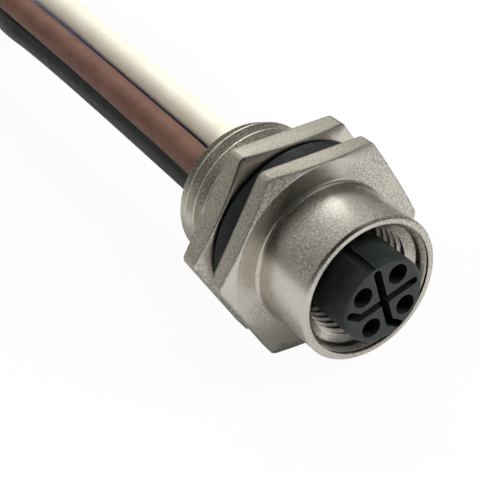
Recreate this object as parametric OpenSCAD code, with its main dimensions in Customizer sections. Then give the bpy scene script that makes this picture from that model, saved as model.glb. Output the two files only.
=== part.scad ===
// Panel-mount M12 power receptacle: a one-piece turned shell with a hexagonal flange,
// a moulded four-pole socket insert, a sealing ring, a lock nut and four single wires.
//
// Every turned or moulded piece is drawn standing up, with heights measured from the
// flange's sealing face: positive towards the mating side, negative behind the panel.
// lay_down() then turns it so that the mating side faces -Y and the wires leave along +Y.

/* [Flange] */
// Width across the flats of the flange and of the lock nut
across_flats = 20; // [18.6:0.2:24]
// Thickness of the flange
flange_t = 2; // [1.6:0.1:3.5]
// How far the turned face circle lies inside the flats
flange_circle_inset = 0.15; // [0.05:0.05:0.5]
// Slope of the turned corner chamfer
flange_corner_slope = 17; // [10:1:30]
// How much is turned off the corners
flange_corner_trim = 0.14; // [0.02:0.02:0.3]

/* [Coupling sleeve] */
// Outer diameter of the sleeve
sleeve_d = 15; // [14.4:0.1:17]
// Length of the sleeve in front of the flange
sleeve_l = 7.2; // [6:0.1:9]
// Chamfer round the outside of the rim
rim_chamfer = 0.3; // [0.1:0.05:0.4]
// Fillet where the sleeve meets the flange
root_fillet = 0.4; // [0.1:0.1:0.8]
// Diameter of the mouth at the rim
mouth_d = 13.5; // [13.1:0.1:13.9]
// Depth of the cylindrical part of the mouth
mouth_depth = 0.3; // [0.1:0.05:0.5]
// Diameter of the plain bore behind the mouth
throat_d = 12.7; // [12.3:0.1:12.9]
// Depth of the cone between the mouth and the plain bore
throat_cone = 0.4; // [0.2:0.1:0.6]
// Depth of the plain bore below the rim
throat_depth = 1.4; // [1.2:0.1:2]
// Depth of the lead-in cone down to the thread
thread_lead = 0.5; // [0.2:0.1:0.8]
// Minor diameter of the M12x1 coupling thread
coupling_minor_d = 10.92; // [10.8:0.02:11]
// Diameter of the relief at the foot of the coupling thread
relief_d = 12.2; // [12.05:0.05:12.6]
// Height of the relief
relief_l = 0.6; // [0.3:0.1:1]

/* [Mounting spigot] */
// Major diameter of the M16x1.5 mounting thread
spigot_d = 15.9; // [15:0.1:16]
// Length of the spigot behind the flange
spigot_l = 12.5; // [11.5:0.5:20]
// Radial depth of the chamfer at the free end
spigot_chamfer = 0.85; // [0.2:0.05:1]
// Length of that chamfer
spigot_chamfer_l = 0.9; // [0.4:0.1:1.5]
// Diameter of the bore that holds the insert
chamber_d = 12.6; // [12:0.1:13]
// Chamfer at the open end of that bore
chamber_chamfer = 0.3; // [0.1:0.05:0.3]
// Thickness of the web that the insert seats against
web_t = 1.2; // [0.8:0.1:1.5]

/* [Insert] */
// Diameter of the insert's nose
nose_d = 8.7; // [8.5:0.1:9]
// How far the nose stands out of the rim
nose_proud = 2; // [0:0.1:3]
// Chamfer round the nose
nose_chamfer = 0.2; // [0.05:0.05:0.3]
// Radial clearance of the nose in the web, and of the collar in the chamber
seat_gap = 0.05; // [0.02:0.01:0.1]
// Length of the collar behind the web
collar_l = 4.8; // [4.2:0.1:7]
// Distance from the web to the ring groove
groove_set_back = 1.4; // [0.8:0.1:2]
// Thickness of the sealing ring's round section
ring_t = 1.24; // [1:0.02:1.4]
// Room for the ring along the groove
ring_slack = 0.36; // [0.2:0.02:0.6]
// Clearance between the ring and the groove's foot and the chamber
ring_gap = 0.03; // [0.01:0.01:0.05]
// Width of the coding slot
slot_w = 0.85; // [0.4:0.05:0.9]
// Depth of the coding slot
slot_depth = 5.5; // [2:0.5:7]
// Distance from the axis to the end of the straight arms
slot_reach = 3.85; // [3.4:0.05:3.95]
// Distance from the axis to the bend of the other arms
bend_reach = 2.8; // [2.4:0.1:3]
// Length of the bent end
bend_l = 1.2; // [0.8:0.1:1.3]
// Width of the keyway in the edge
keyway_w = 0.9; // [0.5:0.1:1.2]
// Depth of the keyway
keyway_t = 0.3; // [0.15:0.05:0.35]
// Length of the keyway
keyway_l = 6; // [2:0.5:8]
// Turn of the keyway from the slot's first arm
keyway_turn = 6; // [0:1:12]

/* [Contacts] */
// Diameter of the circle through the contacts
contact_pcd = 5.6; // [5.5:0.05:5.8]
// Turn of the first contact from +X
contact_turn = 60; // [0:5:90]
// Diameter of the hole in the insert's nose
contact_hole_d = 2.1; // [2.05:0.05:2.2]
// Chamfer round that hole
hole_chamfer = 0.15; // [0.05:0.05:0.2]
// Outer diameter of the socket
socket_d = 2; // [1.9:0.02:2.04]
// Bore of the socket, for the mating pin
socket_bore_d = 1.5; // [1:0.1:1.6]
// Depth of that bore
socket_bore_l = 7; // [5:0.5:7]
// Depth of the socket's edge below the nose's face
socket_set_back = 2.2; // [0.5:0.1:3]
// Width of the socket's spring slits
slit_w = 0.25; // [0.1:0.05:0.3]
// Length of the spring slits
slit_l = 4; // [2:0.5:5]
// Diameter of the contact's shoulder
shoulder_d = 2.5; // [2.3:0.1:2.6]
// Length of the shoulder
shoulder_l = 3; // [2:0.5:3.5]
// Radial clearance of the shoulder in the insert
shoulder_gap = 0.03; // [0.01:0.01:0.05]
// Diameter of the solder barrel
barrel_d = 2.4; // [2:0.1:2.4]
// Length of the solder barrel
barrel_l = 3; // [2:0.5:4]

/* [Potting] */
// How far the potting lies below the spigot's end
potting_set_back = 0.9; // [0.4:0.1:2]
// Radial clearance of barrels and wires in the potting
potting_gap = 0.05; // [0.02:0.01:0.08]

/* [Panel seal] */
// Radial width of the seal
seal_w = 1.85; // [1.2:0.05:1.95]
// Thickness of the seal
seal_t = 2.18; // [1.5:0.02:2.4]
// Rounding of the seal's edges
seal_round = 0.4; // [0.1:0.1:0.8]
// Radial clearance of the seal on the spigot
seal_gap = 0.1; // [0.05:0.05:0.2]
// Clearance between the seal and the flange
seal_lift = 0.02; // [0.01:0.01:0.03]

/* [Lock nut] */
// Thickness of the nut
nut_t = 2.6; // [1.6:0.1:4]
// Distance from the flange to the nut
nut_at = 2.45; // [2.4:0.05:6]
// How far the turned face circle lies inside the flats
nut_circle_inset = 0.3; // [0.1:0.05:0.6]
// Slope of the turned corner chamfer
nut_corner_slope = 18; // [12:1:22]
// Running clearance on the thread's crests
nut_gap = 0.07; // [0.03:0.01:0.1]
// Chamfer at both ends of the nut's bore
nut_bore_chamfer = 0.4; // [0.1:0.1:0.6]

/* [Wires] */
// Outer diameter of a wire
wire_d = 3.3; // [3:0.1:3.3]
// Diameter of the stripped end
bare_d = 1.6; // [1.2:0.1:2]
// Length of the stripped end
bare_l = 8; // [4:1:12]
// Width of the band round the folded wires
tie_w = 4; // [3:0.5:10]
// Thickness of that band
tie_t = 0.8; // [0.4:0.1:0.8]
// Distance from the start of the folded part to the band
tie_at = 25; // [10:1:50]

/* [Hidden] */
$fn = 96;
cut = 1;

nickel = [0.72, 0.70, 0.66];
moulded = [0.14, 0.16, 0.16];
rubber = [0.08, 0.09, 0.10];
gold = [0.86, 0.70, 0.35];
resin = [0.10, 0.10, 0.11];
tin = [0.78, 0.78, 0.78];

rim_h = flange_t + sleeve_l;
web_h = flange_t;
seat_h = web_h - web_t;
nose_h = rim_h + nose_proud;
collar_h = seat_h - collar_l;
groove_h = seat_h - groove_set_back;
socket_h = nose_h - socket_set_back;
shoulder_h = collar_h + shoulder_l;
barrel_h = collar_h - barrel_l;
potting_h = -(spigot_l - potting_set_back);
chamber_r = chamber_d / 2;
collar_r = chamber_r - seat_gap;
groove_w = ring_t + ring_slack;
groove_r = chamber_r - ring_t - 2 * ring_gap;
seal_inner_r = spigot_d / 2 + seal_gap;
contact_r = contact_pcd / 2;

// Folded part of the wires, as seen from above: two wires side by side in two layers
floor_z = -10;
fold_at = [-5.75, 150];
fold_r = 11.75;
hank_y = 95;
inner_end_y = 84;
wire_pitch = 3.5;
layer_pitch = 3.35;
low_z = floor_z + tie_t + wire_d / 2;
high_z = low_z + layer_pitch;
hank_w = 2 * fold_r + wire_pitch + wire_d;
hank_h = layer_pitch + wire_d;
inner_x = fold_at[0] - fold_r + wire_pitch / 2;
outer_x = fold_at[0] - fold_r - wire_pitch / 2;

// Centre lines of the wires, from the solder barrels to the folded part
route_white = [[1.4, 7, 2.42], [1.4, 13, 2.42], [1.4, 21, 2.9], [1.4, 30, 3.3], [1.4, 40, 3.7],
    [1.4, 50, 4.1], [1.4, 60, 4.3], [1.8, 67, 3.9], [3.3, 74, 2.1], [5.7, 81, -1],
    [7.3, 87, -3.6], [7.75, 91, -4.2], [7.75, 95, -4.2]];
route_brown = [[-2.42, 7, 1.4], [-2.42, 13, 1.4], [-2.4, 21, 1.8], [-2.4, 30, 2.2], [-2.3, 40, 2.5],
    [-2.2, 50, 2.8], [-2.1, 60, 2.9], [-1.7, 67, 2.5], [-0.2, 74, 0.8], [2.2, 81, -1.9],
    [3.8, 87, -3.8], [4.25, 91, -4.2], [4.25, 95, -4.2]];
route_black = [[-1.4, 7, -2.42], [-1.4, 13, -2.42], [-1.4, 21, -2.1], [-1.4, 30, -1.8], [-1.4, 40, -1.5],
    [-1.4, 50, -1.3], [-1.4, 60, -1.3], [-1.2, 67, -1.8], [0.2, 74, -3.4], [2.4, 81, -5.8],
    [3.9, 87, -7.3], [4.25, 91, -7.55], [4.25, 95, -7.55]];
route_blue = [[2.42, 7, -1.4], [2.42, 13, -1.4], [2.4, 21, -1.2], [2.4, 30, -1], [2.3, 40, -0.8],
    [2.2, 50, -0.7], [2.1, 60, -0.8], [2.4, 67, -1.3], [3.9, 74, -3.1], [6.1, 81, -5.7],
    [7.5, 87, -7.3], [7.75, 91, -7.55], [7.75, 95, -7.55]];

// Turn a piece drawn standing up so that its mating side faces -Y
module lay_down() rotate([90, 0, 0]) children();

// Hexagonal plate with flats above and below, its corners turned at the upper face
module hex_plate(af, t, inset, slope, trim) {
    corner_r = af / sqrt(3);
    circle_r = af / 2 - inset;
    edge_r = corner_r - trim;
    drop = (edge_r - circle_r) * tan(slope);
    intersection() {
        cylinder(r = corner_r, h = t, $fn = 6);
        rotate_extrude() polygon([[0, 0], [edge_r, 0], [edge_r, t - drop], [circle_r, t], [0, t]]);
    }
}

// Outline of the sleeve and the spigot, from the axis to the outer surface
module shell_outline() {
    fillet = [for (i = [0:6]) let (a = 180 + 15 * i)
        [sleeve_d / 2 + root_fillet + root_fillet * cos(a), flange_t + root_fillet + root_fillet * sin(a)]];
    polygon(concat(
        [[0, -spigot_l], [spigot_d / 2 - spigot_chamfer, -spigot_l]],
        [[spigot_d / 2, spigot_chamfer_l - spigot_l], [spigot_d / 2, flange_t / 2]],
        [[sleeve_d / 2 + root_fillet, flange_t / 2]],
        [for (i = [6:-1:0]) fillet[i]],
        [[sleeve_d / 2, rim_h - rim_chamfer], [sleeve_d / 2 - rim_chamfer, rim_h], [0, rim_h]]));
}

// Outline of everything that is bored out of the shell
module bore_outline() {
    mouth_foot = rim_h - mouth_depth;
    polygon([[0, rim_h + cut], [mouth_d / 2, rim_h + cut], [mouth_d / 2, mouth_foot],
        [throat_d / 2, mouth_foot - throat_cone], [throat_d / 2, rim_h - throat_depth],
        [coupling_minor_d / 2, rim_h - throat_depth - thread_lead],
        [coupling_minor_d / 2, web_h + relief_l], [relief_d / 2, web_h + relief_l], [relief_d / 2, web_h],
        [nose_d / 2 + seat_gap, web_h], [nose_d / 2 + seat_gap, seat_h], [chamber_r, seat_h],
        [chamber_r, chamber_chamfer - spigot_l], [chamber_r + chamber_chamfer, -spigot_l],
        [chamber_r + chamber_chamfer, -spigot_l - cut], [0, -spigot_l - cut]]);
}

module shell() {
    color(nickel) lay_down() difference() {
        union() {
            hex_plate(across_flats, flange_t, flange_circle_inset, flange_corner_slope, flange_corner_trim);
            rotate_extrude() shell_outline();
        }
        rotate_extrude() bore_outline();
    }
}

function toward(a, r) = [r * cos(a), r * sin(a)];

// One arm of the slot along +X with a round end; it bends by the given turn at the end of reach
module slot_arm(reach, turn, bend) {
    r = slot_w / 2;
    corner = toward(turn / 2 + 90, r / cos(turn / 2));
    middle = [reach, 0];
    end = middle + toward(turn, bend);
    polygon(concat(
        [[0, -r], middle - corner],
        [for (a = [-90:22.5:90]) end + toward(turn + a, r)],
        [middle + corner, [0, r]]));
}

// Cross of four arms between the contacts: two straight, two bent round the contacts
module coding_slot() {
    turns = [0, 0, -45, 45];
    for (i = [0:3]) rotate(contact_turn - 45 + 90 * i) {
        if (turns[i] == 0) slot_arm(slot_reach / 2, 0, (slot_reach - slot_w) / 2);
        else slot_arm(bend_reach, turns[i], bend_l);
    }
}

module at_contacts() {
    for (i = [0:3]) at_contact(i) children();
}

module at_contact(i) {
    translate(toward(contact_turn + 90 * i, contact_r)) children();
}

module insert() {
    keyway_a = contact_turn + 45 + keyway_turn;
    color(moulded) lay_down() difference() {
        rotate_extrude() polygon([[0, collar_h], [collar_r, collar_h], [collar_r, groove_h - groove_w],
            [groove_r, groove_h - groove_w], [groove_r, groove_h], [collar_r, groove_h], [collar_r, seat_h],
            [nose_d / 2, seat_h], [nose_d / 2, nose_h - nose_chamfer], [nose_d / 2 - nose_chamfer, nose_h],
            [0, nose_h]]);
        at_contacts() {
            translate([0, 0, collar_h - cut]) cylinder(d = contact_hole_d, h = nose_h - collar_h + 2 * cut, $fn = 48);
            translate([0, 0, collar_h - cut]) cylinder(r = shoulder_d / 2 + shoulder_gap, h = shoulder_l + cut, $fn = 48);
            translate([0, 0, nose_h - hole_chamfer]) cylinder(d1 = contact_hole_d,
                d2 = contact_hole_d + 4 * hole_chamfer, h = 2 * hole_chamfer, $fn = 48);
        }
        translate([0, 0, nose_h - slot_depth]) linear_extrude(slot_depth + cut) coding_slot();
        rotate(keyway_a) translate([nose_d / 2 - keyway_t, -keyway_w / 2, nose_h - keyway_l])
            cube([keyway_t + cut, keyway_w, keyway_l + cut]);
    }
}

module insert_seal() {
    color(rubber) lay_down() translate([0, 0, groove_h - groove_w / 2]) rotate_extrude()
        translate([groove_r + ring_gap + ring_t / 2, 0]) circle(d = ring_t, $fn = 32);
}

// Turned contact number i: slit socket in front, shoulder and solder barrel behind
module contact(i) {
    color(gold) lay_down() at_contact(i) difference() {
        union() {
            translate([0, 0, shoulder_h]) cylinder(d = socket_d, h = socket_h - shoulder_h, $fn = 48);
            translate([0, 0, collar_h]) cylinder(d = shoulder_d, h = shoulder_l, $fn = 48);
            translate([0, 0, barrel_h]) cylinder(d = barrel_d, h = barrel_l, $fn = 48);
        }
        translate([0, 0, socket_h - socket_bore_l]) cylinder(d = socket_bore_d, h = socket_bore_l + cut, $fn = 48);
        translate([0, 0, socket_h - slit_l]) for (turn = [45, 135]) rotate(turn)
            translate([-socket_d, -slit_w / 2, 0]) cube([2 * socket_d, slit_w, slit_l + cut]);
    }
}

module potting() {
    color(resin) lay_down() difference() {
        translate([0, 0, potting_h]) cylinder(r = chamber_r, h = collar_h - potting_h);
        at_contacts() {
            translate([0, 0, barrel_h]) cylinder(r = barrel_d / 2 + potting_gap, h = barrel_l + cut, $fn = 48);
            translate([0, 0, potting_h - cut]) cylinder(r = wire_d / 2 + potting_gap,
                h = barrel_h - potting_h + cut, $fn = 48);
        }
    }
}

module panel_seal() {
    r = seal_round;
    low = seal_inner_r + r;
    high = seal_inner_r + seal_w - r;
    corners = [[high, seal_t - r, 0], [low, seal_t - r, 90], [low, r, 180], [high, r, 270]];
    color(rubber) lay_down() translate([0, 0, -seal_lift - seal_t]) rotate_extrude()
        polygon([for (c = corners, step = [0:15:90]) [c[0], c[1]] + toward(c[2] + step, r)]);
}

module lock_nut() {
    bore_r = spigot_d / 2 + nut_gap;
    color(nickel) lay_down() translate([0, 0, -nut_at - nut_t]) difference() {
        hex_plate(across_flats, nut_t, nut_circle_inset, nut_corner_slope, flange_corner_trim);
        rotate_extrude() polygon([[0, -cut], [bore_r + nut_bore_chamfer, -cut], [bore_r + nut_bore_chamfer, 0],
            [bore_r, nut_bore_chamfer], [bore_r, nut_t - nut_bore_chamfer], [bore_r + nut_bore_chamfer, nut_t],
            [bore_r + nut_bore_chamfer, nut_t + cut], [0, nut_t + cut]]);
    }
}

// Round tube along a centre line that runs mainly along Y: one ring of eight corners per point
module swept_tube(path, d) {
    sides = 8;
    last = len(path) - 1;
    rings = [for (i = [0:last]) let (
            t = path[min(i + 1, last)] - path[max(i - 1, 0)],
            u = t / norm(t),
            side = cross(u, [0, 0, 1]) / norm(cross(u, [0, 0, 1])),
            up = cross(side, u))
        [for (k = [0:sides - 1]) path[i] + d / 2 * (cos(360 * k / sides) * side + sin(360 * k / sides) * up)]];
    walls = [for (i = [0:last - 1], k = [0:sides - 1]) let (n = (k + 1) % sides)
        [i * sides + k, i * sides + n, (i + 1) * sides + n, (i + 1) * sides + k]];
    start_cap = [[for (k = [sides - 1:-1:0]) k]];
    end_cap = [[for (k = [0:sides - 1]) last * sides + k]];
    polyhedron(points = [for (ring = rings, p = ring) p], faces = concat(start_cap, walls, end_cap));
}

module wire_white() { color([0.90, 0.89, 0.84]) swept_tube(route_white, wire_d); }
module wire_brown() { color([0.45, 0.29, 0.24]) swept_tube(route_brown, wire_d); }
module wire_black() { color([0.08, 0.09, 0.09]) swept_tube(route_black, wire_d); }
module wire_blue() { color([0.13, 0.24, 0.52]) swept_tube(route_blue, wire_d); }

// Stripped conductor that leaves the folded wires towards the connector
module wire_end(x, y, z) {
    color(tin) translate([x, y, z]) rotate([90, 0, 0]) cylinder(d = bare_d, h = bare_l, $fn = 24);
}

module wire_end_white() { wire_end(outer_x, hank_y, high_z); }
module wire_end_brown() { wire_end(inner_x, inner_end_y, high_z); }
module wire_end_black() { wire_end(inner_x, inner_end_y, low_z); }
module wire_end_blue() { wire_end(outer_x, hank_y, low_z); }

module wire_hank() {
    color([0.45, 0.44, 0.42]) translate([0, 0, low_z - wire_d / 2]) linear_extrude(hank_h) {
        translate([fold_at[0] - hank_w / 2, hank_y]) square([hank_w, fold_at[1] - hank_y]);
        translate([inner_x - wire_d / 2, inner_end_y]) square([wire_d, hank_y - inner_end_y + cut]);
        intersection() {
            translate(fold_at) circle(d = hank_w);
            translate([fold_at[0] - hank_w / 2, fold_at[1] - cut]) square([hank_w, hank_w]);
        }
    }
}

module hank_tie() {
    color([0.12, 0.12, 0.12]) translate([fold_at[0], hank_y + tie_at, low_z - wire_d / 2 + hank_h / 2])
        difference() {
            cube([hank_w + 2 * tie_t, tie_w, hank_h + 2 * tie_t], center = true);
            cube([hank_w, tie_w + 2 * cut, hank_h], center = true);
        }
}

shell();
insert();
insert_seal();
contact(0);  // contact_1
contact(1);  // contact_2
contact(2);  // contact_3
contact(3);  // contact_4
potting();
panel_seal();
lock_nut();
wire_white();
wire_brown();
wire_black();
wire_blue();
wire_end_white();
wire_end_brown();
wire_end_black();
wire_end_blue();
wire_hank();
hank_tie();
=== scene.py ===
import math

import bpy
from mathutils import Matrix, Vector


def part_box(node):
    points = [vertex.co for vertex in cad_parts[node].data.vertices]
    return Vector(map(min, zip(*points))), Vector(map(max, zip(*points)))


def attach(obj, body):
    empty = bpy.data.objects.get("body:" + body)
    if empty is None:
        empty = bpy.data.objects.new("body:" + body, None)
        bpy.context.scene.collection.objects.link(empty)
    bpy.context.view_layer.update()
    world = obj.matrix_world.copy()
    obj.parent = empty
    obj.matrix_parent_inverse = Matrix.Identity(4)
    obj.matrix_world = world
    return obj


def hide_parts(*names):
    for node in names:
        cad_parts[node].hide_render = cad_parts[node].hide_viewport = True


# Sizes are in millimetres. Turned and moulded pieces are drawn standing up, with heights
# measured from the flange's sealing face, and then laid down with the mating side to -Y.
MM = 0.001

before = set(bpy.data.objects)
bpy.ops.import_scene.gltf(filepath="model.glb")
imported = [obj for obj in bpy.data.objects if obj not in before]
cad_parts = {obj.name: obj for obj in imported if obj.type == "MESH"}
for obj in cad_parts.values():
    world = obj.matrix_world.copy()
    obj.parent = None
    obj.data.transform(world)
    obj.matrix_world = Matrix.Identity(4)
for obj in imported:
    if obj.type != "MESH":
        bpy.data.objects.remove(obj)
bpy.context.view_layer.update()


def reach(node, side, axis):
    """Lowest (0) or highest (1) coordinate of a CAD node along X, Y or Z, in millimetres."""
    return round(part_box(node)[side]["XYZ".index(axis)] / MM, 3)


# ================================================================ bench tools

def clear_selection():
    bpy.ops.object.select_all(action="DESELECT")


def pick(obj):
    clear_selection()
    obj.select_set(True)
    bpy.context.view_layer.objects.active = obj
    return obj


def edit(obj, *steps):
    """Run edit-mode steps on the whole mesh of one object."""
    pick(obj)
    bpy.ops.object.mode_set(mode="EDIT")
    bpy.ops.mesh.select_all(action="SELECT")
    for step in steps:
        step()
    bpy.ops.object.mode_set(mode="OBJECT")
    return obj


def weld():
    bpy.ops.mesh.select_all(action="SELECT")
    bpy.ops.mesh.remove_doubles(threshold=0.001 * MM)


def face_outward():
    bpy.ops.mesh.select_all(action="SELECT")
    bpy.ops.mesh.normals_make_consistent(inside=False)


def close_ends():
    bpy.ops.mesh.fill_holes(sides=0)


def apply_modifier(obj, kind, **settings):
    pick(obj)
    modifier = obj.modifiers.new(kind.lower(), kind)
    for key, value in settings.items():
        setattr(modifier, key, value)
    bpy.ops.object.modifier_apply(modifier=modifier.name)
    return obj


def cut(obj, tool):
    """Take a solid out of another; the tool is used up."""
    apply_modifier(obj, "BOOLEAN", operation="DIFFERENCE", object=tool, solver="MANIFOLD")
    bpy.data.objects.remove(tool)
    return obj


def join_solid(obj, other):
    apply_modifier(obj, "BOOLEAN", operation="UNION", object=other, solver="MANIFOLD")
    bpy.data.objects.remove(other)
    return obj


def keep_common(obj, other):
    apply_modifier(obj, "BOOLEAN", operation="INTERSECT", object=other, solver="MANIFOLD")
    bpy.data.objects.remove(other)
    return obj


def place(obj, x=0, y=0, z=0, turn=0, about="z"):
    """Turn and shift a piece, and put the place into its mesh."""
    pick(obj)
    obj.location = (x * MM, y * MM, z * MM)
    setattr(obj.rotation_euler, about, math.radians(turn))
    bpy.ops.object.transform_apply(location=True, rotation=True, scale=True)
    return obj


def lay_down(obj):
    return place(obj, turn=90, about="x")


def drawn_section(name, points):
    """Closed section in the XZ plane, drawn from corner to corner through (radius, height)."""
    bpy.ops.mesh.primitive_plane_add(size=MM)
    section = bpy.context.object
    section.name = name
    pick(section)
    bpy.ops.object.mode_set(mode="EDIT")
    bpy.ops.mesh.select_all(action="SELECT")
    bpy.ops.mesh.merge(type="CENTER")
    r, h = points[0]
    bpy.ops.transform.translate(value=(r * MM, 0, h * MM))
    for (r0, h0), (r1, h1) in zip(points, points[1:] + points[:1]):
        step = ((r1 - r0) * MM, 0, (h1 - h0) * MM)
        bpy.ops.mesh.extrude_region_move(TRANSFORM_OT_translate={"value": step})
    weld()
    bpy.ops.object.mode_set(mode="OBJECT")
    return section


def turned_ring(name, points, steps=192):
    """Ring with the given section, turned once round the axis."""
    def spin():
        bpy.ops.mesh.spin(steps=steps, angle=2 * math.pi, center=(0, 0, 0), axis=(0, 0, 1))

    return edit(drawn_section(name, points), spin, weld, face_outward)


def wound_rib(name, points, pitch, turns, start, steps=120):
    """Right-handed rib with the given section, wound upwards from the start height."""
    rib = drawn_section(name, [(r, h + start) for r, h in points])
    apply_modifier(rib, "SCREW", axis="Z", angle=2 * math.pi, steps=steps, render_steps=steps,
                   screw_offset=pitch * MM, iterations=turns)
    return edit(rib, weld, close_ends, face_outward)


def turned_solid(name, points, sides=128):
    """Solid of revolution with flat ends: a disc, extruded and scaled from point to point."""
    r0, h0 = points[0]
    bpy.ops.mesh.primitive_circle_add(vertices=sides, radius=r0 * MM, fill_type="NGON")
    solid = bpy.context.object
    solid.name = name
    place(solid, z=h0)
    bpy.ops.object.mode_set(mode="EDIT")
    bpy.ops.mesh.select_all(action="SELECT")
    for (r_from, h_from), (r_to, h_to) in zip(points, points[1:]):
        rise = (0, 0, (h_to - h_from) * MM)
        bpy.ops.mesh.extrude_region_move(TRANSFORM_OT_translate={"value": rise})
        ratio = r_to / r_from
        bpy.ops.transform.resize(value=(ratio, ratio, 1), center_override=(0, 0, 0))
    face_outward()
    bpy.ops.object.mode_set(mode="OBJECT")
    return solid


def block(name, low, high):
    """Box between two corners."""
    bpy.ops.mesh.primitive_cube_add(size=MM)
    box = bpy.context.object
    box.name = name
    box.scale = [b - a for a, b in zip(low, high)]
    return place(box, *[(a + b) / 2 for a, b in zip(low, high)])


def extruded(name, points, low_y, high_y):
    """Solid with the given section in the XZ plane between two places along Y."""
    def draw_out():
        length = (0, (high_y - low_y) * MM, 0)
        bpy.ops.mesh.extrude_region_move(TRANSFORM_OT_translate={"value": length})

    solid = edit(drawn_section(name, points), bpy.ops.mesh.edge_face_add, draw_out, face_outward)
    return place(solid, y=low_y)


def hex_bar(name, across_flats, low, high):
    """Hexagonal bar with flats above and below once it is laid down."""
    bpy.ops.mesh.primitive_cylinder_add(vertices=6, radius=across_flats / math.sqrt(3) * MM,
                                        depth=(high - low) * MM)
    bar = bpy.context.object
    bar.name = name
    return place(bar, z=(low + high) / 2, turn=30)


def soften(obj, width, angle, segments=2):
    """Break the sharp edges."""
    return apply_modifier(obj, "BEVEL", width=width * MM, segments=segments, limit_method="ANGLE",
                          angle_limit=math.radians(angle), use_clamp_overlap=True, miter_outer="MITER_ARC")


def dress(obj, material, body, slot, *nodes, smooth=28):
    """Smooth and finish a piece, tell what it rides on and hide the CAD nodes it stands for."""
    pick(obj)
    bpy.ops.object.shade_smooth_by_angle(angle=math.radians(smooth))
    obj.data.materials.clear()
    obj.data.materials.append(material)
    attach(obj, body)
    if nodes:
        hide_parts(*nodes)
    return obj


# ================================================================ shader nodes

def maths(tree, operation, *values, clamp=False):
    """Math node; each value is a number or another node's output."""
    node = tree.nodes.new("ShaderNodeMath")
    node.operation = operation
    node.use_clamp = clamp
    for socket, value in zip(node.inputs, values):
        feed(tree, value, socket)
    return node.outputs[0]


def feed(tree, value, socket):
    if isinstance(value, bpy.types.NodeSocket):
        tree.links.new(value, socket)
    else:
        socket.default_value = value


def dot(tree, vector, direction):
    """Dot product of a vector output with a fixed direction or another output."""
    node = tree.nodes.new("ShaderNodeVectorMath")
    node.operation = "DOT_PRODUCT"
    tree.links.new(vector, node.inputs[0])
    feed(tree, direction, node.inputs[1])
    return node.outputs["Value"]


def noise(tree, scale, detail=3, stretch=None, distortion=0):
    """Noise on Object coordinates; stretch gives a scale along each axis."""
    coords = tree.nodes.new("ShaderNodeTexCoord").outputs["Object"]
    if stretch:
        mapping = tree.nodes.new("ShaderNodeMapping")
        mapping.inputs["Scale"].default_value = stretch
        tree.links.new(coords, mapping.inputs["Vector"])
        coords = mapping.outputs[0]
    node = tree.nodes.new("ShaderNodeTexNoise")
    node.inputs["Detail"].default_value = detail
    node.inputs["Distortion"].default_value = distortion
    tree.links.new(coords, node.inputs["Vector"])
    feed(tree, scale, node.inputs["Scale"])
    return node.outputs["Fac"]


def between(tree, value, low, high, to_low=0, to_high=1, smooth=False):
    """Map range with clamped ends."""
    node = tree.nodes.new("ShaderNodeMapRange")
    node.interpolation_type = "SMOOTHSTEP" if smooth else "LINEAR"
    for socket, number in zip(node.inputs, (value, low, high, to_low, to_high)):
        feed(tree, number, socket)
    return node.outputs[0]


# ================================================================ camera and studio

FLOOR_Z = -10
CAMERA_AT = (-56.63, -79.83, 67.3)
CAMERA_TURN = (55.695, 1.862, -32.575)
FOCAL_LENGTH = 92.6

# Directions in which the room is brightest and darkest, and the bare white that each ray sees.
BRIGHT_SIDE = (0, 0.35, 0.94)
LENS_SIDE = (-0.477, -0.672, 0.567)
FLOOR_WHITE = {"camera_share": 0.95, "mirror_share": 0.08}
ROOM_WHITE = {"camera_share": 1, "mirror_share": 0.03}


def make_camera():
    data = bpy.data.cameras.new("camera")
    data.lens = FOCAL_LENGTH
    data.sensor_width = 36
    data.clip_start = 0.005
    data.clip_end = 5
    camera = bpy.data.objects.new("camera", data)
    bpy.context.scene.collection.objects.link(camera)
    camera.location = [c * MM for c in CAMERA_AT]
    camera.rotation_euler = [math.radians(a) for a in CAMERA_TURN]
    bpy.context.scene.camera = camera
    bpy.context.scene.view_settings.view_transform = "Standard"


def seen_share(tree, camera_share, mirror_share):
    """How much of the bare white a ray sees: camera rays, and rays off metal or through glass."""
    rays = tree.nodes.new("ShaderNodeLightPath")
    mirrored = maths(tree, "ADD", rays.outputs["Is Glossy Ray"], rays.outputs["Is Transmission Ray"])
    part = maths(tree, "MULTIPLY", mirrored, mirror_share)
    direct = maths(tree, "MULTIPLY", rays.outputs["Is Camera Ray"], camera_share)
    return maths(tree, "ADD", part, direct, clamp=True)


def make_floor():
    bpy.ops.mesh.primitive_plane_add(size=6, location=(0, 0, (FLOOR_Z - 0.02) * MM))
    floor = bpy.context.object
    floor.name = "floor"
    material = bpy.data.materials.new("white_table")
    material.use_nodes = True
    tree = material.node_tree
    tree.nodes.clear()
    output = tree.nodes.new("ShaderNodeOutputMaterial")
    mix = tree.nodes.new("ShaderNodeMixShader")
    matt = tree.nodes.new("ShaderNodeBsdfDiffuse")
    matt.inputs["Color"].default_value = (0.7, 0.7, 0.7, 1)
    white = tree.nodes.new("ShaderNodeEmission")
    white.inputs["Color"].default_value = (1, 1, 1, 1)
    tree.links.new(seen_share(tree, **FLOOR_WHITE), mix.inputs["Fac"])
    tree.links.new(matt.outputs[0], mix.inputs[1])
    tree.links.new(white.outputs[0], mix.inputs[2])
    tree.links.new(mix.outputs[0], output.inputs["Surface"])
    floor.data.materials.append(material)


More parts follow.
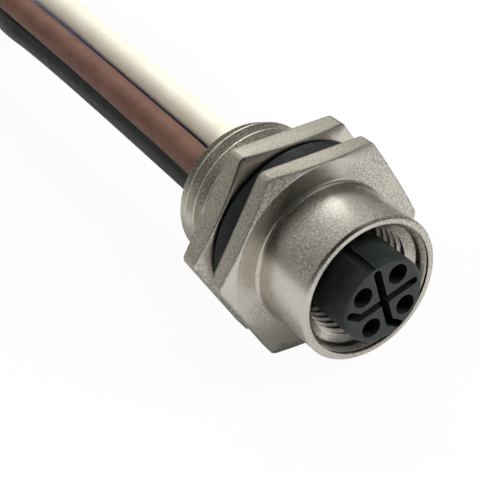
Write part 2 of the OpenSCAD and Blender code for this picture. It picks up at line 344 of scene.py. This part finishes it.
def make_world():
    """Soft room light, brighter above, dark round the lens; the camera sees plain white."""
    world = bpy.data.worlds.new("room")
    bpy.context.scene.world = world
    world.use_nodes = True
    tree = world.node_tree
    tree.nodes.clear()
    output = tree.nodes.new("ShaderNodeOutputWorld")
    back = tree.nodes.new("ShaderNodeBackground")
    back.inputs["Color"].default_value = (1, 1, 1, 1)
    looked_at = tree.nodes.new("ShaderNodeTexCoord").outputs["Generated"]
    room = between(tree, dot(tree, looked_at, BRIGHT_SIDE), 0.25, 0.85, 0.2, 0.6, smooth=True)
    lens = between(tree, dot(tree, looked_at, LENS_SIDE), 0.55, 0.8, 1, 0.05, smooth=True)
    light = tree.nodes.new("ShaderNodeMix")
    light.inputs["B"].default_value = 1
    tree.links.new(seen_share(tree, **ROOM_WHITE), light.inputs["Factor"])
    tree.links.new(maths(tree, "MULTIPLY", room, lens), light.inputs["A"])
    tree.links.new(light.outputs["Result"], back.inputs["Strength"])
    tree.links.new(back.outputs[0], output.inputs["Surface"])


def soft_lamp(name, at, size, power, mirrored):
    """Rectangular lamp aimed at the part; metal shows it only if it is mirrored."""
    data = bpy.data.lights.new(name, "AREA")
    data.shape = "RECTANGLE"
    data.size, data.size_y = size
    data.energy = power
    lamp = bpy.data.objects.new(name, data)
    bpy.context.scene.collection.objects.link(lamp)
    lamp.location = at
    lamp.rotation_euler = (-Vector(at)).to_track_quat("-Z", "Y").to_euler()
    lamp.visible_glossy = mirrored


make_camera()
make_floor()
make_world()
soft_lamp("back_box", (0.121, 0.264, 0.278), (0.13, 0.16), 0.27, True)
soft_lamp("back_sheet", (-0.01, 0.264, 0.304), (0.16, 0.16), 0.075, True)
soft_lamp("side_fill", (0.26, -0.22, 0.32), (0.2, 0.2), 2.4, False)
soft_lamp("left_fill", (-0.3, 0.06, 0.26), (0.22, 0.22), 0.6, False)


# ================================================================ wires: sizes and routes

WIRE_D = 3.3
LOW_Z, HIGH_Z = -7.55, -4.2
INNER, OUTER = 10, 13.5
FOLD_X, FOLD_Y = -5.75, 150
INNER_END_Y, OUTER_END_Y = 84, 95

ROUTES = {
    "white": [(1.4, 7, 2.42), (1.38, 13, 2.42), (1.34, 21, 2.87), (1.33, 30, 3.26), (1.33, 40, 3.66),
              (1.4, 50, 4.1), (1.4, 60, 4.3), (1.8, 67, 3.9), (3.3, 74, 2.1), (5.7, 81, -1),
              (7.3, 87, -3.6), (7.75, 91, -4.2), (7.75, 95, -4.2)],
    "brown": [(-2.42, 7, 1.4), (-2.4, 13, 1.4), (-2.35, 21, 1.84), (-2.34, 30, 2.24), (-2.24, 40, 2.54),
              (-2.2, 50, 2.8), (-2.1, 60, 2.9), (-1.7, 67, 2.5), (-0.2, 74, 0.8), (2.2, 81, -1.9),
              (3.8, 87, -3.8), (4.25, 91, -4.2), (4.25, 95, -4.2)],
    "black": [(-1.4, 7, -2.42), (-1.4, 13, -2.42), (-1.4, 21, -2.1), (-1.4, 30, -1.8), (-1.4, 40, -1.5),
              (-1.4, 50, -1.3), (-1.4, 60, -1.3), (-1.2, 67, -1.8), (0.2, 74, -3.4), (2.4, 81, -5.8),
              (3.9, 87, -7.3), (4.25, 91, -7.55), (4.25, 95, -7.55)],
    "blue": [(2.42, 7, -1.4), (2.42, 13, -1.4), (2.4, 21, -1.2), (2.4, 30, -1), (2.3, 40, -0.8),
             (2.2, 50, -0.7), (2.1, 60, -0.8), (2.4, 67, -1.3), (3.9, 74, -3.1), (6.1, 81, -5.7),
             (7.5, 87, -7.3), (7.75, 91, -7.55), (7.75, 95, -7.55)],
}
FOLDS = {"white": (OUTER, HIGH_Z, OUTER_END_Y), "brown": (INNER, HIGH_Z, INNER_END_Y),
         "black": (INNER, LOW_Z, INNER_END_Y), "blue": (OUTER, LOW_Z, OUTER_END_Y)}


def folded_part(radius, z, end_y):
    """Points past the route: along, round the fold and back to the stripped end."""
    out = [(FOLD_X + radius, y, z) for y in (106, 117, 128, 139)]
    turn = [math.pi * i / 12 for i in range(13)]
    fold = [(FOLD_X + radius * math.cos(a), FOLD_Y + radius * math.sin(a), z) for a in turn]
    back = [(FOLD_X - radius, y, z) for y in (139, 128, 117, 106, end_y)]
    return out + fold + back


def make_wire(colour, material):
    points = ROUTES[colour] + folded_part(*FOLDS[colour])
    curve = bpy.data.curves.new("insulated_" + colour, "CURVE")
    curve.dimensions = "3D"
    curve.bevel_depth = WIRE_D / 2 * MM
    curve.bevel_resolution = 8
    curve.resolution_u = 10
    curve.use_fill_caps = True
    spline = curve.splines.new("BEZIER")
    spline.bezier_points.add(len(points) - 1)
    for knot, point in zip(spline.bezier_points, points):
        knot.co = [c * MM for c in point]
        knot.handle_left_type = knot.handle_right_type = "AUTO"
    wire = bpy.data.objects.new("insulated_" + colour, curve)
    bpy.context.scene.collection.objects.link(wire)
    curve.materials.append(material)
    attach(wire, "receptacle")
    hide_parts("wire_" + colour, "wire_hank")
    return wire


# ================================================================ finishes shared by materials

def new_group(name, inputs, outputs):
    """Shader node group with float inputs, and outputs given as {name: kind}."""
    group = bpy.data.node_groups.new(name, "ShaderNodeTree")
    for label, value in inputs.items():
        socket = group.interface.new_socket(name=label, in_out="INPUT", socket_type="NodeSocketFloat")
        socket.default_value = value
    for label, kind in outputs.items():
        group.interface.new_socket(name=label, in_out="OUTPUT", socket_type="NodeSocket" + kind)
    return group, group.nodes.new("NodeGroupInput"), group.nodes.new("NodeGroupOutput")


def make_patchy_grain():
    """Fine grain that is strong in patches and faint between them; sizes in millimetres."""
    sizes = {"Grain Size": 0.2, "Patch Size": 8, "Patch Level": 0.5, "Faintest": 0.15}
    group, given, result = new_group("patchy_grain", sizes, {"Height": "Float", "Patches": "Float"})
    fine = noise(group, maths(group, "DIVIDE", 1 / MM, given.outputs["Grain Size"]), 3)
    coarse = noise(group, maths(group, "DIVIDE", 1 / MM, given.outputs["Patch Size"]), 2)
    low = maths(group, "SUBTRACT", given.outputs["Patch Level"], 0.06)
    high = maths(group, "ADD", given.outputs["Patch Level"], 0.08)
    patches = between(group, coarse, low, high, given.outputs["Faintest"], 1, smooth=True)
    group.links.new(maths(group, "MULTIPLY", fine, patches), result.inputs["Height"])
    group.links.new(patches, result.inputs["Patches"])
    return group


def make_edge_band():
    """Mask of edges, broken up along their length; sizes in millimetres. It marks rubbed plating, painted
    edge shade and painted edge highlights.
    """
    group, given, result = new_group("edge_band", {"Width": 0.1, "Break Size": 0.6, "Hardness": 0.5},
                                     {"Mask": "Float"})
    rounded = group.nodes.new("ShaderNodeBevel")
    rounded.samples = 6
    group.links.new(maths(group, "MULTIPLY", given.outputs["Width"], MM), rounded.inputs["Radius"])
    surface = group.nodes.new("ShaderNodeNewGeometry")
    turned = dot(group, rounded.outputs[0], surface.outputs["Normal"])
    edge = between(group, maths(group, "SUBTRACT", 1, turned), 0.01, 0.12)
    broken = noise(group, maths(group, "DIVIDE", 1 / MM, given.outputs["Break Size"]), 3)
    hardness = given.outputs["Hardness"]
    kept = between(group, broken, hardness, maths(group, "ADD", hardness, 0.12))
    share = maths(group, "ADD", maths(group, "MULTIPLY", kept, 0.7), 0.3)
    group.links.new(maths(group, "MULTIPLY", edge, share), result.inputs["Mask"])
    return group


SHOULDER_SIDE = (-0.5, 0, 0.866)


def make_hexagon_sides():
    """Masks of what lies past a radius in millimetres, of its sides, and of a roughened shoulder."""
    group, given, result = new_group("hexagon_sides", {"Radius": 8.6},
                                     {"Outer": "Float", "Sides": "Float", "Shoulder": "Float"})
    coords = group.nodes.new("ShaderNodeTexCoord")
    flatten = group.nodes.new("ShaderNodeVectorMath")
    flatten.operation = "MULTIPLY"
    flatten.inputs[1].default_value = (1, 0, 1)
    size = group.nodes.new("ShaderNodeVectorMath")
    size.operation = "LENGTH"
    group.links.new(coords.outputs["Object"], flatten.inputs[0])
    group.links.new(flatten.outputs[0], size.inputs[0])
    radius = maths(group, "DIVIDE", size.outputs["Value"], MM)
    outer = between(group, maths(group, "SUBTRACT", radius, given.outputs["Radius"]), -0.15, 0.15)
    split = group.nodes.new("ShaderNodeSeparateXYZ")
    group.links.new(coords.outputs["Normal"], split.inputs[0])
    sideways = between(group, maths(group, "ABSOLUTE", split.outputs["Y"]), 0.5, 0.2)
    shoulder = between(group, dot(group, coords.outputs["Normal"], SHOULDER_SIDE), 0.84, 0.97)
    group.links.new(shoulder, result.inputs["Shoulder"])
    group.links.new(outer, result.inputs["Outer"])
    group.links.new(maths(group, "MULTIPLY", outer, sideways), result.inputs["Sides"])
    return group


def make_clouding():
    """Slow change from one tone to another over a surface; size in millimetres."""
    group, given, result = new_group("clouding", {"Cloud Size": 3, "Contrast": 0.2}, {"Level": "Float"})
    cloud = noise(group, maths(group, "DIVIDE", 1 / MM, given.outputs["Cloud Size"]), 4, distortion=0.4)
    low = maths(group, "SUBTRACT", 0.5, given.outputs["Contrast"])
    high = maths(group, "ADD", 0.5, given.outputs["Contrast"])
    group.links.new(between(group, cloud, low, high), result.inputs["Level"])
    return group


patchy_grain = make_patchy_grain()
edge_band = make_edge_band()
clouding = make_clouding()
hexagon_sides = make_hexagon_sides()


class Finish:
    """A material under construction: its node tree, its Principled shader and short ways to feed it."""

    def __init__(self, name, metallic=0.0):
        self.material = bpy.data.materials.new(name)
        self.material.use_nodes = True
        self.tree = self.material.node_tree
        self.shader = self.tree.nodes["Principled BSDF"]
        self.shader.inputs["Metallic"].default_value = metallic

    def effect(self, group, output, **values):
        node = self.tree.nodes.new("ShaderNodeGroup")
        node.node_tree = group
        for label, value in values.items():
            node.inputs[label.replace("_", " ")].default_value = value
        return node.outputs[output]

    def blend_colours(self, factor, a, b):
        node = self.tree.nodes.new("ShaderNodeMix")
        node.data_type = "RGBA"
        feed(self.tree, factor, node.inputs["Factor"])
        for socket, colour in ((node.inputs[6], a), (node.inputs[7], b)):
            feed(self.tree, colour if isinstance(colour, bpy.types.NodeSocket) else (*colour, 1), socket)
        return node.outputs[2]

    def colour(self, value):
        self.tree.links.new(value, self.shader.inputs["Base Color"])

    def rough(self, value, low, high):
        self.tree.links.new(between(self.tree, value, 0, 1, low, high), self.shader.inputs["Roughness"])

    def bump(self, height, depth_um, after=None):
        """Raise the surface by a height map, full depth in thousandths of a millimetre."""
        node = self.tree.nodes.new("ShaderNodeBump")
        node.inputs["Distance"].default_value = depth_um * 0.001 * MM
        self.tree.links.new(height, node.inputs["Height"])
        if after is not None:
            self.tree.links.new(after, node.inputs["Normal"])
        self.tree.links.new(node.outputs[0], self.shader.inputs["Normal"])
        return node.outputs[0]


RING_STEP = 0.24


def satin_nickel():
    """Plated brass: warm grey, bead-dull in patches, rubbed bright on its edges, darkened by painted shade
    along its edges, fine turning rings.
    """
    f = Finish("satin_nickel", metallic=1.0)
    t = f.tree
    clouds = f.effect(clouding, "Level", Cloud_Size=4, Contrast=0.25)
    flats = f.effect(hexagon_sides, "Sides")
    outer = f.effect(hexagon_sides, "Outer")
    paler_edges = f.effect(edge_band, "Mask", Width=0.09, Break_Size=0.5, Hardness=0.42)
    paler_edges = maths(t, "MULTIPLY", paler_edges, between(t, outer, 0, 1, 1, 0.4))
    # Painted shade: a broad dark band along the edges, strongest on the hexagons, stands in for the dark
    # that the bevels reflect.
    painted_edge_shade = f.effect(edge_band, "Mask", Width=0.5, Break_Size=0.3, Hardness=0.4)
    painted_edge_shade = maths(t, "MULTIPLY", painted_edge_shade, between(t, outer, 0, 1, 0.3, 1))
    patches = f.effect(patchy_grain, "Patches", Patch_Size=7, Patch_Level=0.5, Faintest=0.15)
    patches = maths(t, "MAXIMUM", patches, maths(t, "MULTIPLY", f.effect(hexagon_sides, "Shoulder"), 0.8))
    grain = noise(t, 1 / (0.14 * MM), 2)
    fine = noise(t, 1 / (0.2 * MM), 3)
    speck = between(t, fine, 0.4, 0.52)
    sparkle = between(t, fine, 0.56, 0.62)
    speckled = maths(t, "MAXIMUM", maths(t, "MULTIPLY", patches, 0.55), maths(t, "MULTIPLY", flats, 0.7))
    plate = f.blend_colours(clouds, (0.53, 0.495, 0.43), (0.60, 0.57, 0.51))
    plate = f.blend_colours(maths(t, "MULTIPLY", maths(t, "SUBTRACT", 1, speck), speckled),
                            plate, (0.2, 0.18, 0.14))
    plate = f.blend_colours(maths(t, "MULTIPLY", sparkle, speckled), plate, (0.86, 0.83, 0.75))
    plate = f.blend_colours(maths(t, "MULTIPLY", flats, 0.6), plate, (0.38, 0.365, 0.29))
    plate = f.blend_colours(maths(t, "MULTIPLY", painted_edge_shade, 0.9), plate, (0.13, 0.115, 0.085))
    f.colour(f.blend_colours(paler_edges, plate, (0.80, 0.77, 0.71)))
    base = maths(t, "MULTIPLY_ADD", patches, 0.6, maths(t, "MULTIPLY", clouds, 0.4))
    base = maths(t, "MULTIPLY", base, maths(t, "SUBTRACT", 1, maths(t, "MULTIPLY", paler_edges, 0.6)))
    f.rough(maths(t, "MULTIPLY", maths(t, "ADD", base, flats), 0.5), 0.2, 0.6)
    rings = t.nodes.new("ShaderNodeTexWave")
    rings.wave_type = "RINGS"
    rings.rings_direction = "Y"
    rings.inputs["Scale"].default_value = 2 * math.pi / (20 * RING_STEP * MM)
    rings.inputs["Distortion"].default_value = 1.5
    t.links.new(t.nodes.new("ShaderNodeTexCoord").outputs["Object"], rings.inputs["Vector"])
    turned = f.bump(rings.outputs["Fac"], 0.8)
    scratches = between(t, noise(t, 1, 2, stretch=(900, 9000, 1500)), 0.68, 0.74)
    scored = f.bump(scratches, -4, turned)
    f.bump(maths(t, "MULTIPLY", grain, maths(t, "MAXIMUM", patches, flats)), 42, scored)
    return f.material


def moulded_plastic():
    """Glass-filled moulding: charcoal, finely mottled, with painted highlights: its edges painted paler."""
    f = Finish("charcoal_moulding")
    t = f.tree
    mottle = f.effect(clouding, "Level", Cloud_Size=0.45, Contrast=0.2)
    base = f.blend_colours(mottle, (0.008, 0.0115, 0.0107), (0.0145, 0.0195, 0.018))
    # Painted highlight: the edges of the face, holes and slots are painted paler to stand in for the light
    # they catch.
    paler_edges = f.effect(edge_band, "Mask", Width=0.1, Break_Size=0.4, Hardness=0.35)
    f.colour(f.blend_colours(paler_edges, base, (0.06, 0.07, 0.07)))
    f.rough(mottle, 0.42, 0.6)
    f.bump(f.effect(patchy_grain, "Height", Grain_Size=0.1, Patch_Size=2, Patch_Level=0.45, Faintest=0.4), 9)
    return f.material


def black_rubber():
    f = Finish("black_rubber")
    bloom = f.effect(clouding, "Level", Cloud_Size=1.6, Contrast=0.18)
    f.colour(f.blend_colours(bloom, (0.003, 0.004, 0.004), (0.006, 0.008, 0.009)))
    f.shader.inputs["Specular IOR Level"].default_value = 0.3
    f.rough(bloom, 0.5, 0.72)
    f.bump(f.effect(patchy_grain, "Height", Grain_Size=0.14, Patch_Size=3, Patch_Level=0.5, Faintest=0.5), 8)
    return f.material


def gold_plate():
    f = Finish("gold_plate", metallic=1.0)
    cloud = f.effect(clouding, "Level", Cloud_Size=0.6, Contrast=0.2)
    f.colour(f.blend_colours(cloud, (0.76, 0.52, 0.2), (0.9, 0.67, 0.31)))
    f.rough(cloud, 0.18, 0.34)
    grain = f.effect(patchy_grain, "Height", Grain_Size=0.08, Patch_Size=1.5, Patch_Level=0.5, Faintest=0.3)
    f.bump(grain, 4)
    return f.material


def cast_resin():
    """Potting: glossy black, with slow waves left by its setting."""
    f = Finish("cast_resin")
    cloud = f.effect(clouding, "Level", Cloud_Size=1.8, Contrast=0.2)
    f.colour(f.blend_colours(cloud, (0.008, 0.009, 0.010), (0.020, 0.021, 0.022)))
    f.rough(cloud, 0.16, 0.3)
    f.bump(f.effect(patchy_grain, "Height", Grain_Size=0.9, Patch_Size=4, Patch_Level=0.4, Faintest=0.6), 30)
    return f.material


def wire_insulation(name, dark, light, gloss=0.36):
    """Extruded insulation: slight tone changes, faint drag marks along the wire, dust dulling."""
    f = Finish(name)
    t = f.tree
    tone = f.effect(clouding, "Level", Cloud_Size=2.2, Contrast=0.2)
    f.colour(f.blend_colours(tone, dark, light))
    handled = f.effect(clouding, "Level", Cloud_Size=0.8, Contrast=0.22)
    f.shader.inputs["Specular IOR Level"].default_value = 0.35
    f.rough(handled, gloss, gloss + 0.16)
    marks = f.bump(noise(t, 1, 3, stretch=(1800, 90, 1800)), 7)
    grain = f.effect(patchy_grain, "Height", Grain_Size=0.25, Patch_Size=5, Patch_Level=0.48, Faintest=0.25)
    f.bump(grain, 9, marks)
    return f.material


def tinned_copper():
    f = Finish("tinned_copper", metallic=1.0)
    cloud = f.effect(clouding, "Level", Cloud_Size=0.5, Contrast=0.2)
    f.colour(f.blend_colours(cloud, (0.5, 0.47, 0.43), (0.72, 0.70, 0.66)))
    f.rough(cloud, 0.25, 0.45)
    f.bump(f.effect(patchy_grain, "Height", Grain_Size=0.1, Patch_Size=2, Patch_Level=0.5, Faintest=0.3), 5)
    return f.material


nickel = satin_nickel()
moulded = moulded_plastic()
rubber = black_rubber()
gold = gold_plate()
resin = cast_resin()
tin = tinned_copper()
insulation = {
    "white": wire_insulation("white_insulation", (0.74, 0.69, 0.55), (0.81, 0.77, 0.65)),
    "brown": wire_insulation("brown_insulation", (0.108, 0.047, 0.029), (0.146, 0.068, 0.045), 0.5),
    "black": wire_insulation("black_insulation", (0.006, 0.008, 0.008), (0.014, 0.016, 0.016)),
    "blue": wire_insulation("blue_insulation", (0.007, 0.021, 0.08), (0.012, 0.033, 0.12)),
}


# ================================================================ shell

ACROSS_FLATS = reach("shell", 1, "Z") - reach("shell", 0, "Z")
CORNER_R = ACROSS_FLATS / math.sqrt(3)
CORNER_TRIM = 0.14
EDGE_R = CORNER_R - CORNER_TRIM
FLANGE_T = 2
RIM_H = -reach("shell", 0, "Y")
SPIGOT_R = 7.95
SPIGOT_END = -reach("shell", 1, "Y")
CHAMBER_R = 6.3
SLEEVE_R = 7.5
ROOT_FILLET = 0.4
THROAT_R = 6.35
COUNTERBORE_R = 6.1
COUNTERBORE_FOOT = 2.6
WEB_LOW, WEB_TOP = 0.8, 2.0
WEB_HOLE_R = 4.4

COARSE_PITCH = 1.5
COARSE_ROOT_R = 7.03
COARSE_OUTSIDE_R = 8.05
COARSE_START = SPIGOT_END - 1.0
COARSE_TURNS = 8
FINE_PITCH = 1.0
FINE_CREST_R = 5.46
FINE_ROOT_R = 6.0
FINE_INSIDE_R = 5.36
FINE_START = 2.5
FINE_TURNS = 5


def arc(x, h, r, start, end, count=6):
    """Points on an arc from start to end, in degrees."""
    angles = [math.radians(start + (end - start) * i / count) for i in range(count + 1)]
    return [(x + r * math.cos(a), h + r * math.sin(a)) for a in angles]


def shell_section():
    """Section of the shell round the axis without its hexagon: spigot, root fillet, sleeve, mouth, web."""
    spigot = [(CHAMBER_R + 0.3, SPIGOT_END), (7.02, SPIGOT_END), (7.12, SPIGOT_END + 0.05),
              (SPIGOT_R, SPIGOT_END + 0.9), (SPIGOT_R, 0.5), (SLEEVE_R + ROOT_FILLET, 0.5)]
    fillet = arc(SLEEVE_R + ROOT_FILLET, FLANGE_T + ROOT_FILLET, ROOT_FILLET, 270, 180)
    rim = [(SLEEVE_R, RIM_H - 0.27), (SLEEVE_R - 0.02, RIM_H - 0.23), (SLEEVE_R - 0.22, RIM_H - 0.02),
           (SLEEVE_R - 0.26, RIM_H), (6.83, RIM_H), (6.76, RIM_H - 0.04)]
    mouth = [(6.74, RIM_H - 0.3), (THROAT_R + 0.02, RIM_H - 0.7), (THROAT_R, RIM_H - 0.75),
             (THROAT_R, RIM_H - 1.38), (THROAT_R - 0.05, RIM_H - 1.44), (FINE_CREST_R, RIM_H - 1.9)]
    foot = [(FINE_CREST_R, COUNTERBORE_FOOT), (COUNTERBORE_R, COUNTERBORE_FOOT),
            (COUNTERBORE_R, WEB_TOP), (WEB_HOLE_R, WEB_TOP), (WEB_HOLE_R, WEB_LOW),
            (CHAMBER_R, WEB_LOW), (CHAMBER_R, SPIGOT_END + 0.3)]
    return spigot + fillet + rim + mouth + foot


def corner_lens(name, low, high, circle_r, slope):
    """Solid that turns the corners of a hexagon off and slopes them at the upper face."""
    drop = (EDGE_R - circle_r) * math.tan(math.radians(slope))
    return turned_solid(name, [(EDGE_R, low - 1), (EDGE_R, high - drop), (circle_r, high),
                               (circle_r - 1, high + 0.01)], 192)


def make_shell():
    flange = hex_bar("flange", ACROSS_FLATS, 0, FLANGE_T)
    keep_common(flange, corner_lens("flange_turning", 0, FLANGE_T, ACROSS_FLATS / 2 - 0.15, 17))
    soften(flange, 0.16, 9, 3)
    cut(flange, turned_solid("flange_bore", [(7.2, -1), (7.2, FLANGE_T + 1)]))
    shell = turned_ring("shell_metal", shell_section(), 216)
    join_solid(shell, flange)
    coarse_groove = [(COARSE_ROOT_R, -0.125), (COARSE_OUTSIDE_R, -0.714),
                     (COARSE_OUTSIDE_R, 0.714), (COARSE_ROOT_R, 0.125)]
    cut(shell, wound_rib("coarse_groove", coarse_groove, COARSE_PITCH, COARSE_TURNS, COARSE_START))
    fine_groove = [(FINE_ROOT_R, -0.06), (FINE_ROOT_R, 0.06), (FINE_INSIDE_R, 0.43), (FINE_INSIDE_R, -0.43)]
    cut(shell, wound_rib("fine_groove", fine_groove, FINE_PITCH, FINE_TURNS, FINE_START))
    return dress(lay_down(shell), nickel, "receptacle", "nickel", "shell")


def make_nut():
    """Lock nut: corners sloped towards the seal, threaded bore in step with the spigot."""
    low, high = -reach("lock_nut", 1, "Y"), -reach("lock_nut", 0, "Y")
    nut = hex_bar("nut_metal", ACROSS_FLATS, low, high)
    keep_common(nut, corner_lens("nut_turning", low, high, ACROSS_FLATS / 2 - 0.3, 18))
    soften(nut, 0.14, 9, 3)
    minor, root, flare = 7.25, 8.03, 0.85
    cut(nut, turned_solid("nut_bore", [(root + 0.57, low - 0.5), (root + 0.07, low), (minor, low + flare),
                                       (minor, high - flare), (root + 0.07, high),
                                       (root + 0.57, high + 0.5)], 160))
    groove = [(root, -0.098), (root, 0.098), (7.15, 0.608), (7.15, -0.608)]
    first = COARSE_START + (0.5 + math.floor((low - COARSE_START) / COARSE_PITCH) - 1) * COARSE_PITCH
    cut(nut, wound_rib("nut_groove", groove, COARSE_PITCH, 5, first))
    return dress(lay_down(nut), nickel, "nut", "nickel", "lock_nut")


def make_panel_seal():
    low, high = -reach("panel_seal", 1, "Y"), -reach("panel_seal", 0, "Y")
    outer = reach("panel_seal", 1, "X")
    inner, r = outer - 1.85, 0.4
    section = (arc(outer - r, high - r, r, 0, 90) + arc(inner + r, high - r, r, 90, 180)
               + arc(inner + r, low + r, r, 180, 270) + arc(outer - r, low + r, r, 270, 360))
    seal = lay_down(turned_ring("seal_rubber", section, 160))
    return dress(seal, rubber, "seal_stage", "rubber", "panel_seal")


# ================================================================ insert

NOSE_H = -reach("insert", 0, "Y")
NOSE_R = 4.35
NOSE_ROUNDING = 0.32
COLLAR_R = 6.25
SEAL_GROOVE_R = 5
CONTACT_R = 2.8
PIN_HOLE_R = 1.05
BARREL_HOLE_R = 1.28
FIRST_TURN = 60
SLOT_W = 0.85
SLOT_DEPTH = 5.5
STRAIGHT_REACH = 3.85 - SLOT_W / 2
BEND_REACH, BEND_L = 2.8, 1.2
KEYWAY_TURN = FIRST_TURN + 51
KEYWAY_W, KEYWAY_L = 0.9, 6
KEYWAY_FLOOR_R, KEYWAY_OUT_R = 4.05, 5


def toward(turn, r):
    return r * math.cos(math.radians(turn)), r * math.sin(math.radians(turn))


def slot_bar(name, length):
    """Bar along +X with round ends, for one stretch of the coding slot."""
    low, high = NOSE_H - SLOT_DEPTH, NOSE_H + 1
    bar = turned_solid(name, [(SLOT_W / 2, low), (SLOT_W / 2, high)], 32)
    far = turned_solid(name + "_end", [(SLOT_W / 2, low), (SLOT_W / 2, high)], 32)
    join_solid(bar, place(far, x=length))
    return join_solid(bar, block(name + "_side", (0, -SLOT_W / 2, low), (length, SLOT_W / 2, high)))


def cut_coding_slot(insert):
    for i in range(4):
        turn = FIRST_TURN - 45 + 90 * i
        bent = i >= 2
        length = BEND_REACH if bent else STRAIGHT_REACH
        cut(insert, place(slot_bar("arm", length), turn=turn))
        if bent:
            x, y = toward(turn, length)
            cut(insert, place(slot_bar("bend", BEND_L), x, y, turn=turn + (-45 if i == 2 else 45)))


def make_insert():
    collar_h, seat_h, groove_h, groove_foot = -4, 0.8, -0.6, -2.2
    collar = [(COLLAR_R, collar_h), (COLLAR_R, groove_foot), (SEAL_GROOVE_R, groove_foot),
              (SEAL_GROOVE_R, groove_h), (COLLAR_R, groove_h), (COLLAR_R, seat_h), (NOSE_R, seat_h)]
    nose = arc(NOSE_R - NOSE_ROUNDING, NOSE_H - NOSE_ROUNDING, NOSE_ROUNDING, 0, 90, 5)
    insert = turned_solid("insert_moulding", collar + nose, 144)
    for i in range(4):
        hole = turned_solid("hole", [(BARREL_HOLE_R, collar_h - 1), (BARREL_HOLE_R, -1),
                                     (PIN_HOLE_R, -1), (PIN_HOLE_R, NOSE_H + 1)], 64)
        cut(insert, place(hole, *toward(FIRST_TURN + 90 * i, CONTACT_R)))
    cut_coding_slot(insert)
    keyway = block("keyway", (KEYWAY_FLOOR_R, -KEYWAY_W / 2, NOSE_H - KEYWAY_L),
                   (KEYWAY_OUT_R, KEYWAY_W / 2, NOSE_H + 1))
    cut(insert, place(keyway, turn=KEYWAY_TURN))
    soften(insert, 0.11, 40, 3)
    return dress(lay_down(insert), moulded, "receptacle", "moulded", "insert", smooth=35)


def make_potting():
    """Resin fill: it has crept up the wall and up each wire before it set."""
    foot, top = -reach("potting", 0, "Y"), -reach("potting", 1, "Y")
    resin_fill = turned_solid("resin_fill", [(6.28, foot), (6.28, top - 0.17), (6.16, top - 0.1),
                                             (5.95, top - 0.03), (5.6, top), (5.1, top + 0.02)], 128)
    for i in range(4):
        climb = turned_solid("climb", [(2.5, top + 0.3), (2.35, top), (2.1, top - 0.06), (1.85, top - 0.16),
                                       (1.72, top - 0.3), (1.67, top - 0.42)], 48)
        join_solid(resin_fill, place(climb, *toward(FIRST_TURN + 90 * i, CONTACT_R)))
    return dress(lay_down(resin_fill), resin, "receptacle", "resin", "potting")


# ================================================================ stripped ends and tie

STRAND_R = 0.27
STRANDS = 6
STRAND_TWIST = -230


def make_stripped_end(colour):
    """Bare tinned strands: one straight, six twisted round it."""
    node = "wire_end_" + colour
    low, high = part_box(node)
    length = (high.y - low.y) / MM
    bpy.ops.mesh.primitive_cylinder_add(vertices=16, radius=STRAND_R * MM, depth=length * MM)
    bundle = bpy.context.object
    bundle.name = "strands_" + colour
    place(bundle, z=length / 2)
    for i in range(STRANDS):
        bpy.ops.mesh.primitive_circle_add(vertices=16, radius=STRAND_R * MM)
        strand = place(bpy.context.object, x=(high.x - low.x) / 2 / MM - STRAND_R)
        apply_modifier(strand, "SCREW", axis="Z", angle=math.radians(STRAND_TWIST), steps=40,
                       render_steps=40, screw_offset=length * MM)
        edit(strand, weld, close_ends, face_outward)
        place(strand, turn=360 / STRANDS * i)
        bundle.select_set(True)
        bpy.context.view_layer.objects.active = bundle
        bpy.ops.object.join()
    soften(bundle, 0.04, 60, 2)
    lay_down(bundle)
    middle = (low + high) / 2
    place(bundle, middle.x / MM, high.y / MM, middle.z / MM)
    return dress(bundle, tin, "receptacle", "tin", node, smooth=50)


def rounded_rectangle(low_x, high_x, low_z, high_z, r):
    return (arc(high_x - r, high_z - r, r, 0, 90, 5) + arc(low_x + r, high_z - r, r, 90, 180, 5)
            + arc(low_x + r, low_z + r, r, 180, 270, 5) + arc(high_x - r, low_z + r, r, 270, 360, 5))


def make_tie():
    """Strap round the folded wires, with its lock and the trimmed tail."""
    low, high = [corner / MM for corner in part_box("hank_tie")]
    wall, lock_w, tail_l, window_w = 0.8, 5.2, 4.5, 2.4
    strap = extruded("tie_strap", rounded_rectangle(low.x, high.x, low.z, high.z, 2.4), low.y, high.y)
    inside = rounded_rectangle(low.x + wall, high.x - wall, low.z + wall, high.z - wall, 1.65)
    cut(strap, extruded("tie_inside", inside, low.y - 1, high.y + 1))
    at = (low.x + high.x) / 2 - 6
    lock = block("tie_lock", (at - lock_w / 2, low.y - 0.6, high.z - wall + 0.1),
                 (at + lock_w / 2, high.y + 0.6, high.z + 2))
    soften(lock, 0.5, 30, 3)
    tail = block("tie_tail", (at, low.y + 0.5, high.z + 0.5),
                 (at + lock_w / 2 + tail_l, high.y - 0.5, high.z + 1.3))
    join_solid(lock, tail)
    window = block("tie_window", (at - window_w / 2, low.y + 0.5, high.z + 1.3),
                   (at + window_w / 2, high.y - 0.5, high.z + 3))
    cut(lock, window)
    join_solid(strap, lock)
    soften(strap, 0.15, 35, 2)
    return dress(strap, rubber, "receptacle", "moulded", "hank_tie", smooth=40)


# ================================================================ make everything

tie = make_tie()
for colour, material in insulation.items():
    carried = [make_stripped_end(colour)] + ([tie] if colour == "white" else [])
    make_wire(colour, material)

make_shell()
make_nut()
make_panel_seal()
make_insert()
make_potting()

for name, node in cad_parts.items():
    if not node.hide_render:
        node.data.materials.clear()
        node.data.materials.append(gold if name.startswith("contact") else rubber)
